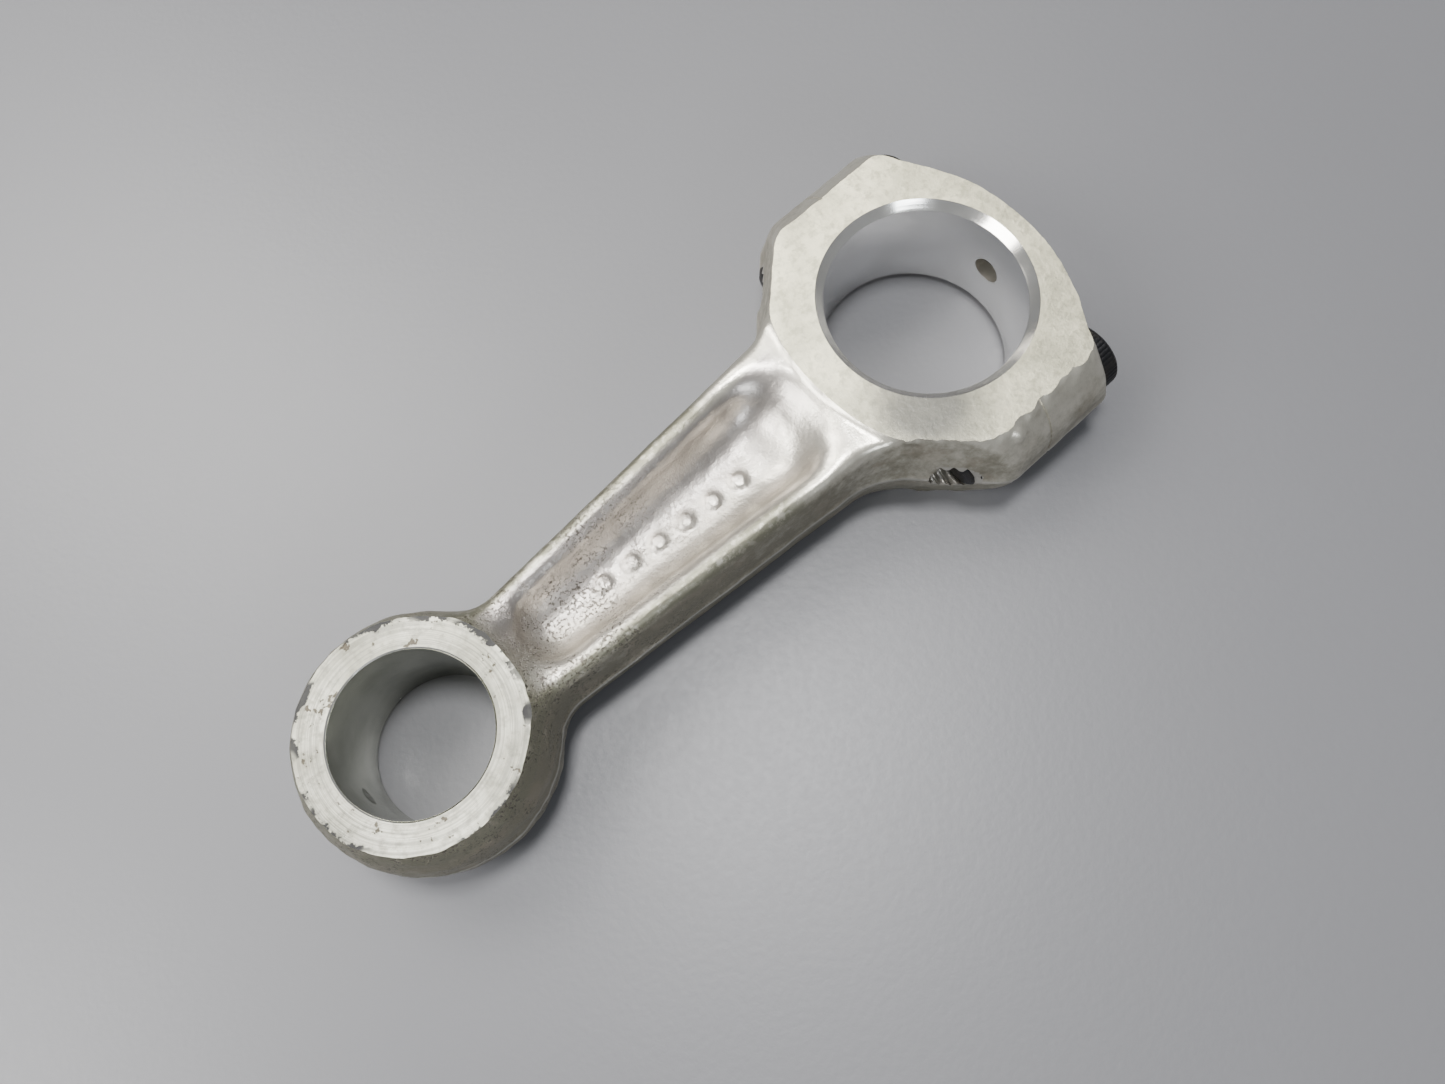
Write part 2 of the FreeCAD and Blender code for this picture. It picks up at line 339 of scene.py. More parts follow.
def cast_field(x, y, z):
    """The whole casting, rod and cap in one, before machining."""
    body = smooth_min(big_end_field(x, y, z), beam_field(x, y, z), BEAM_BLEND)
    body = smooth_min(body, small_end_field(x, y, z), EYE_BLEND)
    body = smooth_max(body, ceiling_field(x, y, z), CEILING_ROUND)
    rim = POCKET_RIM_ROUND + POCKET_RIM_EXTRA * rise(-x, -41, -28)
    body = smooth_max(body, -pocket_field(x, y, z), rim)
    away = np.sqrt((x - SIDE_PIP[0])**2 + (y - SIDE_PIP[1])**2 + (z - SIDE_PIP[2])**2)
    body = smooth_min(body, away - SIDE_PIP_RADIUS, SIDE_PIP_BLEND)
    body = body + FLASH_HEIGHT * np.exp(-(z / FLASH_MARGIN) ** 2)
    return smooth_max(body, np.abs(z) - HALF_WIDTH - ALLOWANCE, STOCK_ROUND)


def surface_nets(field, origin, step):
    """Quads along the zero level of a sampled field."""
    cells = tuple(n - 1 for n in field.shape)
    total = np.zeros(cells + (3,))
    count = np.zeros(cells)
    inside = field < 0
    crossings = []
    for axis in range(3):
        others = [a for a in range(3) if a != axis]
        low = [slice(None)] * 3
        high = [slice(None)] * 3
        low[axis] = slice(0, -1)
        high[axis] = slice(1, None)
        a, b = field[tuple(low)], field[tuple(high)]
        edge = np.argwhere(inside[tuple(low)] != inside[tuple(high)])
        va = a[tuple(edge.T)]
        vb = b[tuple(edge.T)]
        point = edge.astype(float)
        point[:, axis] += va / (va - vb)
        size = np.array(cells)
        ok = np.all([(edge[:, o] > 0) & (edge[:, o] < size[o]) for o in others], axis=0)
        edge, point, va = edge[ok], point[ok], va[ok]
        corner = []
        for du, dv in ((1, 1), (0, 1), (0, 0), (1, 0)):
            cell = edge.copy()
            cell[:, others[0]] -= du
            cell[:, others[1]] -= dv
            np.add.at(total, tuple(cell.T), point)
            np.add.at(count, tuple(cell.T), 1)
            corner.append(np.ravel_multi_index(tuple(cell.T), cells))
        quad = np.stack(corner, axis=1)
        flip = (va < 0) != (axis == 1)
        quad[~flip] = quad[~flip][:, ::-1]
        crossings.append(quad)
    used = np.argwhere(count > 0)
    index = np.full(count.size, -1)
    index[np.ravel_multi_index(tuple(used.T), cells)] = np.arange(len(used))
    place = total[tuple(used.T)] / count[tuple(used.T)][:, None]
    return origin + place * step, index[np.concatenate(crossings)]


def gradient(points, reach=0.02):
    """Unit outward normals of the casting at these points, and the field's steepness there."""
    slope = np.empty_like(points)
    for axis in range(3):
        offset = np.zeros(3)
        offset[axis] = reach
        ahead = cast_field(*(points + offset).T)
        behind = cast_field(*(points - offset).T)
        slope[:, axis] = (ahead - behind) / (2 * reach)
    steepness = np.linalg.norm(slope, axis=1)
    return slope / steepness[:, None], steepness


def settle(points, rounds=3):
    """Moves points onto the casting's surface."""
    for _ in range(rounds):
        normal, steepness = gradient(points)
        off = cast_field(*points.T) / steepness
        points = points - normal * off[:, None]
    return points


def turbulence(points, size, octaves=2):
    """Smooth noise of about unit height at each point."""
    made = [noise.fractal(Vector(p), 1.0, 2.0, octaves) for p in points / size]
    return np.array(made)


def casting_skin():
    """The cast blank's surface, with its uneven skin and the trimmed flash at the parting plane."""
    low = np.array(GRID_LOW)
    high = np.array(GRID_HIGH)
    shape = np.ceil((high - low) / VOXEL).astype(int) + 1
    axes = [low[a] + VOXEL * np.arange(shape[a]) for a in range(3)]
    field = cast_field(*np.meshgrid(*axes, indexing="ij"))
    points, quads = surface_nets(field, low, VOXEL)
    points = settle(points)
    normal, _ = gradient(points)
    relief = BROAD_RELIEF * turbulence(points, BROAD_LUMPS)
    relief = relief + FINE_RELIEF * turbulence(points + 50, FINE_LUMPS)
    rim = rise(np.abs(points[:, 2]), 9.2, 10.4)
    ragged = rise(points[:, 1], 8, 18) * rise(points[:, 0], -16, -9)
    big_end_rim = BIG_END_RIM + BIG_END_RAGGED_RIM * ragged
    rim *= np.where(points[:, 0] < ROOT_X[0] - 3, big_end_rim, 0)
    rim += np.where(points[:, 0] > CENTRES - EYE_RADIUS[0], EYE_RIM, 0)
    relief += rim * turbulence(points + 20, RIM_LUMPS, 3)
    flash = FLASH_HEIGHT * np.exp(-(points[:, 2] / FLASH_WIDTH) ** 2)
    flash *= 0.75 + 0.5 * turbulence(points * [1, 1, 0] + 90, FLASH_LUMPS, 1)
    relief = np.minimum(relief + flash, FLASH_HEIGHT)
    return points + normal * relief[:, None], quads


# ---------------------------------------------------------------- meshes and cutting

def mesh_object(name, points, faces):
    mesh = bpy.data.meshes.new(name)
    mesh.from_pydata([tuple(p) for p in points], [], [tuple(int(i) for i in f) for f in faces])
    mesh.update()
    made = bpy.data.objects.new(name, mesh)
    bpy.context.scene.collection.objects.link(made)
    return made


def tidy_normals(piece):
    bm = bmesh.new()
    bm.from_mesh(piece.data)
    bmesh.ops.recalc_face_normals(bm, faces=bm.faces)
    bm.to_mesh(piece.data)
    bm.free()


def cut(piece, tool, operation="DIFFERENCE"):
    """Cuts the piece with the tool, and deletes the tool."""
    modifier = piece.modifiers.new("cut", "BOOLEAN")
    modifier.operation = operation
    modifier.solver = "MANIFOLD"
    modifier.object = tool
    depsgraph = bpy.context.evaluated_depsgraph_get()
    result = bpy.data.meshes.new_from_object(piece.evaluated_get(depsgraph))
    piece.modifiers.clear()
    old = piece.data
    piece.data = result
    result.name = piece.name
    bpy.data.meshes.remove(old)
    spare = tool.data
    bpy.data.objects.remove(tool)
    bpy.data.meshes.remove(spare)


def drop_flecks(piece):
    """Deletes the flecks of metal that a cut has left loose."""
    bm = bmesh.new()
    bm.from_mesh(piece.data)
    left = set(bm.verts)
    islands = []
    while left:
        island = []
        front = [left.pop()]
        while front:
            vert = front.pop()
            island.append(vert)
            for edge in vert.link_edges:
                other = edge.other_vert(vert)
                if other in left:
                    left.remove(other)
                    front.append(other)
        islands.append(island)
    main = max(len(island) for island in islands)
    flecks = [vert for island in islands if len(island) < main for vert in island]
    bmesh.ops.delete(bm, geom=flecks, context="VERTS")
    bm.to_mesh(piece.data)
    bm.free()


def box_tool(low, high):
    made = bpy.data.objects.new("box", bpy.data.meshes.new("box"))
    bm = bmesh.new()
    bmesh.ops.create_cube(bm, size=1)
    for v in bm.verts:
        v.co = Vector((v.co[i] + 0.5) * (high[i] - low[i]) + low[i] for i in range(3))
    bm.to_mesh(made.data)
    bm.free()
    bpy.context.scene.collection.objects.link(made)
    return made


def ring_of(along, radius, steps, ripple=None):
    """One ring of a turned shape round Z: its points, a little bigger or smaller with the ripple."""
    turn = 2 * np.pi * np.arange(steps) / steps
    radii = radius if ripple is None else radius + ripple
    return np.stack([radii * np.cos(turn), radii * np.sin(turn), np.full(steps, along)], axis=1)


def turned(name, profile, steps, centre, along_x=False, ripples=None):
    """A closed turned solid from (position, radius) pairs, round Z or round X."""
    rings = []
    for number, (along, radius) in enumerate(profile):
        ripple = ripples[number] if ripples else None
        rings.append(ring_of(along, radius, steps, ripple))
    points = np.concatenate(rings)
    ends = np.array([[0, 0, profile[0][0]], [0, 0, profile[-1][0]]])
    points = np.concatenate([points, ends])
    if along_x:
        points = points[:, [2, 0, 1]]
    points = points + np.array(centre)
    faces = []
    last = len(rings) - 1
    first_end = len(rings) * steps
    for i in range(steps):
        j = (i + 1) % steps
        for row in range(last):
            a, b = row * steps, (row + 1) * steps
            faces.append((a + i, a + j, b + j, b + i))
        faces.append((first_end, j, i))
        faces.append((first_end + 1, last * steps + i, last * steps + j))
    return mesh_object(name, points, faces)


def bore_tool(radius, chamfer, x):
    """A reamer along Z with a chamfer at both faces and softened chamfer edges."""
    edge = HALF_WIDTH - chamfer
    half = [
        (HALF_WIDTH + 1.0, radius + chamfer + 1.0),
        (HALF_WIDTH, radius + chamfer),
        (edge + 0.25 * chamfer, radius + 0.25 * chamfer),
        (edge + 0.1, radius + 0.06),
        (edge - 0.1, radius),
    ]
    profile = [(-z, r) for z, r in half] + [(z, r) for z, r in reversed(half)]
    return turned("bore", profile, BORE_STEPS, (x, 0, 0))


def drill_tool(radius, start, end, centre, steps=DRILL_STEPS):
    """A drill along X, with the edge of the hole broken at its start."""
    way = 1 if end > start else -1
    profile = [
        (start - way * 0.5, radius + HOLE_EDGE_BREAK + 0.5),
        (start + way * HOLE_EDGE_BREAK, radius),
        (end, radius),
    ]
    return turned("drill", profile, steps, centre, along_x=True)


def thread_relief(x, depth, steps):
    """How far a right-handed 60 degree thread falls below its crests, round one ring at x."""
    turn = np.arange(steps) / steps
    phase = (x / THREAD_PITCH - turn) % 1.0
    fall = 0.5 - np.abs(phase - 0.5)
    return -depth * np.clip((fall - THREAD_CREST) / THREAD_FLANK, 0, 1)


def tap_tool(centre):
    """A threaded cutter with a countersink at the split plane and a drill point at its end."""
    major = THREAD_RADIUS + THREAD_PLAY
    rows = np.arange(-1.0, TAPPED_DEPTH, THREAD_PITCH / THREAD_ROWS)
    profile, ripples = [], []
    for x in rows:
        countersink = major + HOLE_EDGE_BREAK - x
        thread = major + thread_relief(x, THREAD_DEPTH, TAP_STEPS)
        profile.append((x, major))
        ripples.append(np.maximum(thread, countersink) - major)
    for x, radius in ((TAPPED_DEPTH, DRILL_POINT_RADIUS),
                      (TAPPED_DEPTH + DRILL_POINT_LENGTH, 0.1)):
        profile.append((x, radius))
        ripples.append(np.zeros(TAP_STEPS))
    return turned("tap", profile, TAP_STEPS, centre, along_x=True, ripples=ripples)


def give_materials(piece, materials):
    piece.data.materials.clear()
    for material in materials:
        piece.data.materials.append(material)


def finish_piece(piece, body, node):
    """Scales a finished shape to metres, parents it to its CAD body and hides the CAD node it replaces.
    """
    piece.data.transform(Matrix.Scale(MM, 4))
    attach(piece, body)
    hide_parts(node)


# ---------------------------------------------------------------- the four pieces

def face_arrays(mesh):
    """Centres and normals of every face."""
    count = len(mesh.polygons)
    centre = np.empty(count * 3)
    normal = np.empty(count * 3)
    mesh.polygons.foreach_get("center", centre)
    mesh.polygons.foreach_get("normal", normal)
    return centre.reshape(-1, 3), normal.reshape(-1, 3)


CAST, FACED, RING, BORED, CHAMFERED, MILLED, DRILLED, WRISTPIN_BORED = range(8)


def sort_surfaces(piece):
    """Gives each face the slot of the operation that made it."""
    c, n = face_arrays(piece.data)
    made = np.full(len(c), CAST)
    level = np.abs(c[:, 2])
    for radius, chamfer, x, wall in ((CRANKPIN_RADIUS, CRANKPIN_CHAMFER, 0, BORED),
                                     (WRISTPIN_RADIUS, WRISTPIN_CHAMFER, CENTRES,
                                      WRISTPIN_BORED)):
        away = np.hypot(c[:, 0] - x, c[:, 1])
        made[away < radius + chamfer + 0.05] = CHAMFERED
        made[(away < radius + 0.08) & (level < HALF_WIDTH - chamfer + 0.1)] = wall
    for side in (-1, 1):
        off = np.hypot(c[:, 1] - side * SCREW_Y, c[:, 2])
        tapped = THREAD_RADIUS + THREAD_PLAY + 0.03 + np.maximum(HOLE_EDGE_BREAK - c[:, 0], 0)
        point = DRILL_POINT_RADIUS * (1 - (c[:, 0] - TAPPED_DEPTH) / DRILL_POINT_LENGTH) + 0.05
        tapped = np.where(c[:, 0] > TAPPED_DEPTH + 0.02, point, tapped)
        made[(off < tapped) & (c[:, 0] > 0)] = DRILLED
        made[(off < CLEARANCE_HOLE_RADIUS + HOLE_EDGE_BREAK + 0.05) & (c[:, 0] < 0)] = DRILLED
        made[(off < COUNTERBORE_RADIUS + 0.05) & (c[:, 0] < SEAT_X + 0.1)] = DRILLED
    off = np.hypot(c[:, 1], c[:, 2])
    made[(off < CAP_OIL_HOLE_RADIUS + 0.1) & (c[:, 0] < -CRANKPIN_RADIUS)] = DRILLED
    made[(off < WRISTPIN_OIL_HOLE_RADIUS + 0.1) & (c[:, 0] > CENTRES + WRISTPIN_RADIUS)] = DRILLED
    flat = (level > HALF_WIDTH - 0.01) & (np.abs(n[:, 2]) > 0.99)
    made[flat & (c[:, 0] < CENTRES / 2)] = FACED
    made[flat & (c[:, 0] > CENTRES / 2)] = RING
    made[(np.abs(c[:, 0]) < 0.01) & (np.abs(n[:, 0]) > 0.99)] = MILLED
    piece.data.polygons.foreach_set("material_index", made.astype(np.int32))
    piece.data.polygons.foreach_set("use_smooth", ~np.isin(made, (FACED, RING, MILLED)))


def wear_attribute(piece):
    """Stores how convex the casting is at each vertex, from -1 in hollows to 1 on edges."""
    mesh = piece.data
    flat = np.empty(len(mesh.vertices) * 3)
    mesh.vertices.foreach_get("co", flat)
    points = flat.reshape(-1, 3)
    middle = cast_field(*points.T)
    bend = -6 * middle
    for axis in range(3):
        for way in (-WEAR_REACH, WEAR_REACH):
            offset = np.zeros(3)
            offset[axis] = way
            bend = bend + cast_field(*(points + offset).T)
    wear = np.clip(bend / WEAR_REACH**2 / WEAR_FULL_BEND, -1, 1)
    layer = mesh.attributes.new("wear", "FLOAT", "POINT")
    layer.data.foreach_set("value", wear.astype(np.float32))


def ease_split_edge(piece):
    """Draws the outer edge of the split face in a little, so that the joint shows as a fine line."""
    mesh = piece.data
    flat = np.empty(len(mesh.vertices) * 3)
    mesh.vertices.foreach_get("co", flat)
    points = flat.reshape(-1, 3)
    depth = cast_field(*points.T)
    edge = (np.abs(points[:, 0]) < 1e-3) & (depth > -SPLIT_EDGE_DEPTH)
    edge &= np.hypot(points[:, 0], points[:, 1]) > CRANKPIN_RADIUS + 4
    normal, _ = gradient(points[edge])
    normal[:, 0] = 0
    points[edge] -= normal * SPLIT_EDGE_EASE
    points[:, 2] = np.clip(points[:, 2], -HALF_WIDTH, HALF_WIDTH)
    mesh.vertices.foreach_set("co", points.ravel())


def rod_and_cap(materials):
    """Cuts the one casting into rod and cap and machines both."""
    points, quads = casting_skin()
    rod = mesh_object("rod_casting", points, quads)
    tidy_normals(rod)
    cap = rod.copy()
    cap.data = rod.data.copy()
    cap.name = "bearing_cap_casting"
    bpy.context.scene.collection.objects.link(cap)
    rod_side = box_tool((0, -FAR_SIDE, -HALF_WIDTH), (FAR_END, FAR_SIDE, HALF_WIDTH))
    cut(rod, rod_side, "INTERSECT")
    cap_side = box_tool((-FAR_SIDE, -FAR_SIDE, -HALF_WIDTH), (0, FAR_SIDE, HALF_WIDTH))
    cut(cap, cap_side, "INTERSECT")
    cut(rod, bore_tool(CRANKPIN_RADIUS, CRANKPIN_CHAMFER, 0))
    cut(cap, bore_tool(CRANKPIN_RADIUS, CRANKPIN_CHAMFER, 0))
    cut(rod, bore_tool(WRISTPIN_RADIUS, WRISTPIN_CHAMFER, CENTRES))
    cut(rod, drill_tool(WRISTPIN_OIL_HOLE_RADIUS, EYE_DRILL_START, CENTRES, (0, 0, 0),
                        EYE_OIL_HOLE_STEPS))
    cut(cap, drill_tool(CAP_OIL_HOLE_RADIUS, CAP_DRILL_START, CAP_DRILL_END, (0, 0, 0),
                        CAP_OIL_HOLE_STEPS))
    for side in (-1, 1):
        at = (0, side * SCREW_Y, 0)
        cut(rod, tap_tool(at))
        cut(cap, drill_tool(CLEARANCE_HOLE_RADIUS, 0, CLEARANCE_DRILL_END, at))
        cut(cap, drill_tool(COUNTERBORE_RADIUS, COUNTERBORE_START, SEAT_X, at,
                            COUNTERBORE_STEPS))
    for piece, body, node, slot in ((rod, "rod", "rod", "rod_aluminium"),
                                    (cap, "cap", "bearing_cap", "cap_aluminium")):
        drop_flecks(piece)
        ease_split_edge(piece)
        wear_attribute(piece)
        give_materials(piece, materials)
        piece.data.set_sharp_from_angle(angle=SHARP_ANGLE)
        sort_surfaces(piece)
        finish_piece(piece, body, node)


def cap_screw(side, name, body, node, material):
    """Knurled socket head, neck and thread in one turned shape, with the hex socket cut in."""
    knurl = np.where(np.arange(SCREW_STEPS) % KNURL_SPACING == 0, -KNURL_DEPTH, 0.0)
    plain = np.zeros(SCREW_STEPS)
    radius = HEAD_RADIUS
    rings = [
        (HEAD_X, radius - 0.75, plain),
        (HEAD_X + 0.12, radius - 0.45, plain),
        (HEAD_X + 0.55, radius - 0.08, plain),
        (HEAD_X + 0.8, radius, knurl),
        (SEAT_X - 0.6, radius, knurl),
        (SEAT_X - 0.35, radius - 0.1, plain),
        (SEAT_X - 0.08, radius - 0.3, plain),
        (SEAT_X, radius - 0.5, plain),
        (SEAT_X, THREAD_RADIUS + 0.15, plain),
        (SEAT_X + 0.12, THREAD_RADIUS - 0.05, plain),
        (SEAT_X + 0.8, THREAD_RADIUS - 0.08, plain),
    ]
    for x in np.arange(SEAT_X + 1.0, TIP_X, THREAD_PITCH / THREAD_ROWS):
        start = min((x - SEAT_X - 1.0) / 1.2, 1)
        blank = min(THREAD_RADIUS, THREAD_RADIUS - 0.9 + (TIP_X - x))
        thread = THREAD_RADIUS + thread_relief(x, THREAD_DEPTH * start, SCREW_STEPS)
        rings.append((x, blank, np.minimum(thread, blank) - blank))
    rings.append((TIP_X, THREAD_RADIUS - 1.0, plain))
    profile = [(x, r) for x, r, _ in rings]
    ripples = [ripple for _, _, ripple in rings]
    at = (0, side * SCREW_Y, 0)
    screw = turned(name, profile, SCREW_STEPS, at, along_x=True, ripples=ripples)
    tidy_normals(screw)
    across = SOCKET_ACROSS_FLATS / math.sqrt(3)
    hexagon = turned("socket", [(HEAD_X - 1, across), (HEAD_X + SOCKET_DEPTH, across),
                                (HEAD_X + SOCKET_DEPTH + 1.2, 0.4)], 6, at, along_x=True)
    tidy_normals(hexagon)
    cut(screw, hexagon)
    lead = turned("lead", [(HEAD_X - 1, across + 0.9), (HEAD_X + 0.55, across - 0.65)],
                  DRILL_STEPS, at, along_x=True)
    tidy_normals(lead)
    cut(screw, lead)
    give_materials(screw, [material])
    screw.data.set_sharp_from_angle(angle=SHARP_ANGLE)
    finish_piece(screw, body, node)


# ---------------------------------------------------------------- materials

class Shader:
    """One material's node tree, with short calls for the nodes used here."""

    def __init__(self, name):
        self.material = bpy.data.materials.new(name)
        self.material.use_nodes = True
        self.tree = self.material.node_tree
        self.tree.nodes.clear()
        self.place = self.node("ShaderNodeTexCoord", "Object")

    def node(self, kind, output=0, settings=None, inputs=None):
        made = self.tree.nodes.new(kind)
        for key, value in (settings or {}).items():
            setattr(made, key, value)
        for key, value in (inputs or {}).items():
            if isinstance(value, bpy.types.NodeSocket):
                self.tree.links.new(value, made.inputs[key])
            else:
                made.inputs[key].default_value = value
        return made.outputs[output]

    def math(self, operation, a, b=0.0):
        return self.node("ShaderNodeMath", 0, {"operation": operation}, {0: a, 1: b})

    def noise(self, scale, detail=4.0, roughness=0.55, vector=None, distortion=0.0):
        place = self.place if vector is None else vector
        return self.node("ShaderNodeTexNoise", "Fac", None, {
            "Vector": place, "Scale": scale, "Detail": detail, "Roughness": roughness,
            "Distortion": distortion})

    def step(self, value, low, high):
        """Rises smoothly from 0 at low to 1 at high."""
        return self.node("ShaderNodeMapRange", 0, {"interpolation_type": "SMOOTHSTEP"}, {
            "Value": value, "From Min": low, "From Max": high})

    def scaled(self, value, low, high):
        """Maps 0 to 1 onto low to high."""
        return self.node("ShaderNodeMapRange", 0, None, {
            "Value": value, "To Min": low, "To Max": high})

    def mix(self, factor, a, b):
        return self.node("ShaderNodeMix", "Result", {"data_type": "RGBA"}, {
            "Factor": factor, "A": a, "B": b})

    def split(self, vector):
        made = self.tree.nodes.new("ShaderNodeSeparateXYZ")
        self.tree.links.new(vector, made.inputs[0])
        return made.outputs

    def combine(self, x, y, z):
        return self.node("ShaderNodeCombineXYZ", 0, None, {0: x, 1: y, 2: z})

    def attribute(self, name):
        return self.node("ShaderNodeAttribute", "Fac", {"attribute_name": name})

    def bump(self, height, distance):
        return self.node("ShaderNodeBump", 0, None, {
            "Height": height, "Distance": distance, "Strength": 1.0})

    def finish(self, **inputs):
        named = {key.replace("_", " "): value for key, value in inputs.items()}
        surface = self.node("ShaderNodeBsdfPrincipled", 0, None, named)
        output = self.tree.nodes.new("ShaderNodeOutputMaterial")
        self.tree.links.new(surface, output.inputs["Surface"])
        return self.material


def colour(r, g, b):
    return (r, g, b, 1.0)


PALE_SKIN = colour(0.66, 0.63, 0.54)
# the dark end of the skin, used both for grime and for painted shade on the upright sides
GRIMY_AND_SHADED_SKIN = colour(0.23, 0.215, 0.165)
TAN_SKIN = colour(0.40, 0.34, 0.27)
TARNISHED_SKIN = colour(0.22, 0.212, 0.16)
STAINED_SKIN = colour(0.345, 0.315, 0.30)
SPECK = colour(0.07, 0.06, 0.05)
CUT_SEAM = colour(0.62, 0.61, 0.57)
PALE_FACE = colour(0.76, 0.72, 0.54)
DULL_FACE = colour(0.53, 0.51, 0.38)
SPOTTED_FACE = colour(0.33, 0.32, 0.235)
SMEARED_FACE = colour(0.24, 0.235, 0.18)
# painted shade on the big end's face
FACE_SHADE_PATCH = colour(0.13, 0.128, 0.115)
PALE_RING = colour(0.45, 0.44, 0.375)
DULL_RING = colour(0.26, 0.255, 0.205)
SPOTTED_RING = colour(0.15, 0.148, 0.12)
GROOVED_RING = colour(0.14, 0.14, 0.12)
WORN_RING = colour(0.03, 0.03, 0.033)
RING_PIT = colour(0.045, 0.035, 0.024)
PALE_CHAMFER = colour(0.92, 0.91, 0.88)
DULL_CHAMFER = colour(0.76, 0.73, 0.66)
PALE_MILLED = colour(0.82, 0.81, 0.77)
DULL_MILLED = colour(0.62, 0.61, 0.57)
PALE_DRILLED = colour(0.56, 0.54, 0.49)
DULL_DRILLED = colour(0.34, 0.32, 0.28)
PALE_CRANKPIN_BORE = colour(0.95, 0.95, 0.95)
DULL_CRANKPIN_BORE = colour(0.82, 0.82, 0.81)
PALE_WRISTPIN_BORE = colour(0.50, 0.51, 0.44)
DULL_WRISTPIN_BORE = colour(0.32, 0.33, 0.28)
BLACK_STEEL = colour(0.022, 0.022, 0.024)
BROWN_STEEL = colour(0.05, 0.043, 0.036)
BARE_STEEL = colour(0.22, 0.21, 0.20)
PALE_FLOOR = colour(0.126, 0.127, 0.136)
DULL_FLOOR = colour(0.115, 0.115, 0.122)


def cast_aluminium():
    """Cast skin: silvery on edges, brown-grey on the sides from grime and painted shade, grainy, stained
    and pitted.
    """
    s = Shader("cast_aluminium")
    x, y, z = s.split(s.place)
    wear = s.attribute("wear")
    normal = s.split(s.node("ShaderNodeNewGeometry", "Normal"))
    level = s.math("ABSOLUTE", normal[2])
    upright = s.math("SUBTRACT", 1.0, level)
    patches = s.noise(110, 5.0, 0.6)
    mottle = s.noise(620, 5.0, 0.7)
    grain = s.noise(1900, 3.0, 0.6)
    pocket_half = s.node("ShaderNodeMapRange", 0, None, {
        "Value": x, "From Min": POCKET_TIPS[0] * MM, "From Max": POCKET_TIPS[1] * MM,
        "To Min": (POCKET_HALF_TOP[0] + 1.2) * MM, "To Max": (POCKET_HALF_TOP[1] + 1.2) * MM})
    inward = s.math("SUBTRACT", pocket_half, s.math("ABSOLUTE", y))
    in_pocket = s.math("MULTIPLY", s.step(inward, -0.0005, 0.0006), s.step(x, *POCKET_END_X))
    in_pocket = s.math("MULTIPLY", in_pocket, s.step(x, *POCKET_START_X))
    outside = s.math("SUBTRACT", 1.0, in_pocket)
    eye_side_shade = s.step(x, *EYE_SIDE_SHADE_X)
    # Painted shade: the upright sides outside the pocket are darkened in the colour, more so by the eye;
    # the patches and mottle add real dirt.
    dirt_and_side_shade = s.math("MULTIPLY", s.math("MULTIPLY", upright, outside), 0.75)
    dirt_and_side_shade = s.math("ADD", dirt_and_side_shade, s.math("MULTIPLY", patches, 0.8))
    dirt_and_side_shade = s.math("ADD", dirt_and_side_shade, s.math("MULTIPLY", mottle, 0.9))
    dirt_and_side_shade = s.math("ADD", dirt_and_side_shade, s.math("MULTIPLY", s.math("MULTIPLY", eye_side_shade, upright), 0.4))
    dirt_and_side_shade = s.math("SUBTRACT", dirt_and_side_shade, s.math("MULTIPLY", wear, 0.1))
    dirt_and_side_shade = s.math("SUBTRACT", dirt_and_side_shade, s.math("MULTIPLY", s.step(x, *CLEAN_ROOT_X), 0.22))
    grime_and_side_shade = s.step(dirt_and_side_shade, 0.7, 1.55)
    skin = s.mix(grime_and_side_shade, PALE_SKIN, GRIMY_AND_SHADED_SKIN)
    tan = s.math("MULTIPLY", s.step(s.noise(210, 3.0), 0.5, 0.66), upright)
    skin = s.mix(s.math("MULTIPLY", tan, 0.3), skin, TAN_SKIN)
    flange = s.math("MULTIPLY", s.step(s.math("ABSOLUTE", z), *FLANGE_Z), outside)
    flange = s.math("MULTIPLY", flange, s.step(x, *FLANGE_START_X))
    tarnish = s.scaled(s.step(mottle, 0.36, 0.52), 0.5, 1.0)
    skin = s.mix(s.math("MULTIPLY", flange, tarnish), skin, TARNISHED_SKIN)
    lean = s.math("ADD", y, s.math("MULTIPLY", patches, 0.008))
    far_side = s.step(lean, 0.0085, -0.001)
    stain = s.math("MULTIPLY", in_pocket, s.scaled(far_side, 0.4, 0.85))
    skin = s.mix(stain, skin, STAINED_SKIN)
    towards_eye = s.step(x, *SPECKS_X)
    specks = s.step(s.noise(2000, 5.0, 0.72), 0.52, 0.575)
    clumps = s.step(s.noise(170, 3.0, 0.6), 0.40, 0.60)
    specks = s.math("MULTIPLY", specks, s.math("MULTIPLY", towards_eye, clumps))
    skin = s.mix(s.math("MULTIPLY", specks, 0.85), skin, SPECK)
    seam = s.step(s.math("ABSOLUTE", z), *SEAM_Z)
    skin = s.mix(s.math("MULTIPLY", seam, 0.5), skin, CUT_SEAM)
    rough = s.math("ADD", s.math("MULTIPLY", mottle, 0.5), grime_and_side_shade)
    rough = s.scaled(s.math("ADD", rough, s.math("MULTIPLY", flange, 0.5)), 0.25, 0.46)
    height = s.math("ADD", s.math("MULTIPLY", mottle, 0.6), s.math("MULTIPLY", grain, 0.4))
    height = s.math("SUBTRACT", height, s.math("MULTIPLY", specks, 0.3))
    height = s.math("MULTIPLY", height, s.scaled(s.step(x, *SMOOTH_ROOT_X), 0.4, 1.0))
    return s.finish(Base_Color=skin, Metallic=0.92, Roughness=rough,
                    Normal=s.bump(height, 0.00016))


def round_the_bore(s, centre):
    """Radius, cosine and sine about a bore's axis, and the height along it."""
    x, y, z = s.split(s.place)
    dx = s.math("SUBTRACT", x, centre)
    radius = s.math("SQRT", s.math("ADD", s.math("MULTIPLY", dx, dx), s.math("MULTIPLY", y, y)))
    return radius, s.math("DIVIDE", dx, radius), s.math("DIVIDE", y, radius), z


